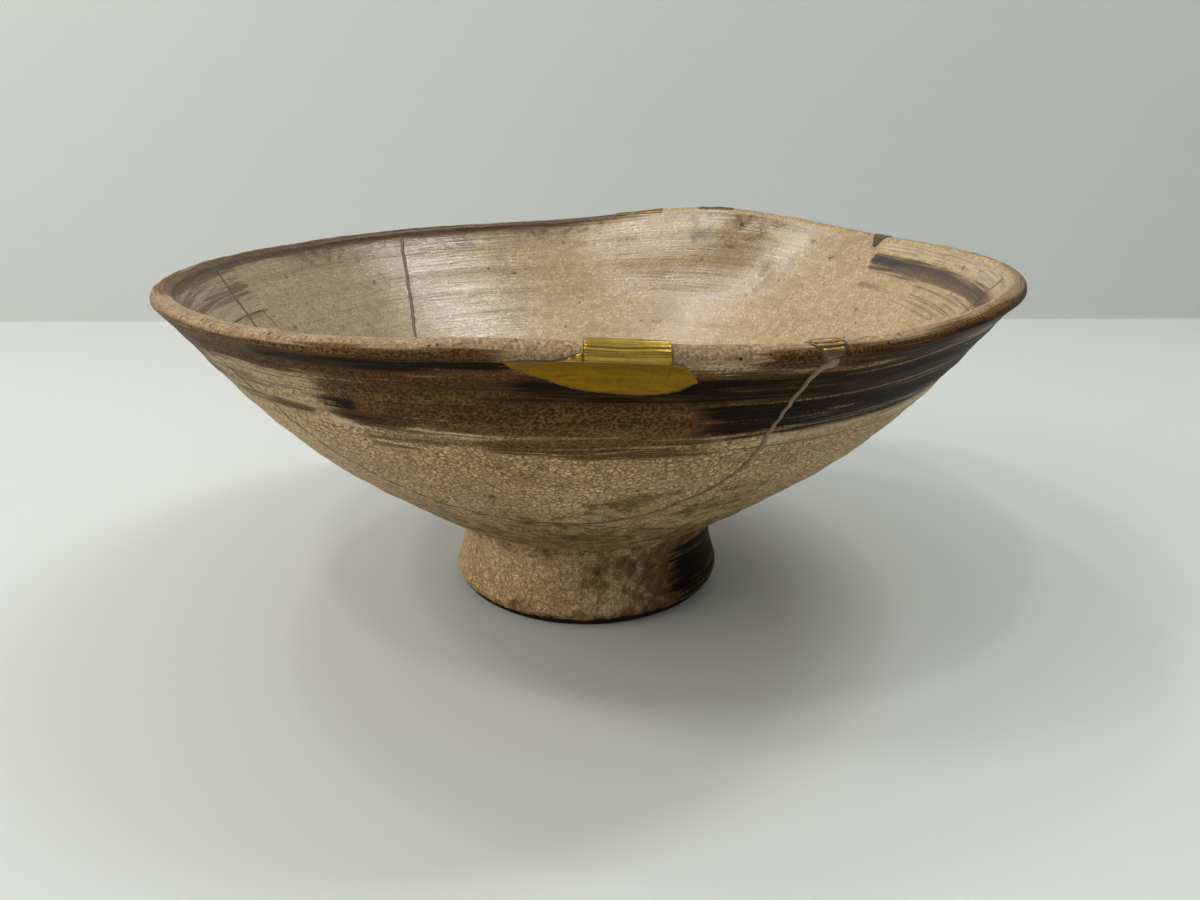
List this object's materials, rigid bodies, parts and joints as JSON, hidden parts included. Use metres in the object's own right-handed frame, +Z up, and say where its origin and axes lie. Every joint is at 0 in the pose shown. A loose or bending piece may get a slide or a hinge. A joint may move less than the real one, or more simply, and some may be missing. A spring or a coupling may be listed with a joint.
{
  "type": "kintsugi bowl",
  "caption": "Wide glazed stoneware tea bowl on a flared foot, with a finger dent in its rim, gilded rim fills and raised lacquer seams.",
  "frame": {"origin": "on the surface the bowl stands on, in the middle of its outline seen from above", "axes": "+Z up out of the bowl; -Y towards the front, where the large gilded rim fill is; +X to the right of it"},
  "size_m": [0.1502, 0.1499, 0.0697],
  "materials": {
    "glaze": "finely crackled warm beige glaze over brushed white slip, with dark brown iron brushwork below the rim",
    "gold": "burnished gold powder on lacquer, a little worn",
    "lacquer": "brown lacquer, raised and satin",
    "dark_lacquer": "dark olive-black lacquer, satin"
  },
  "bodies": {
    "root": {"bowl": "glaze", "gold_rim_fill": "gold", "gold_corner_fill": "gold", "back_rim_fill": "gold", "side_rim_fill": "dark_lacquer", "dark_rim_fill": "dark_lacquer", "front_seam": "lacquer", "back_inner_seam": "lacquer", "left_inner_seam": "lacquer"}
  },
  "joints": []
}
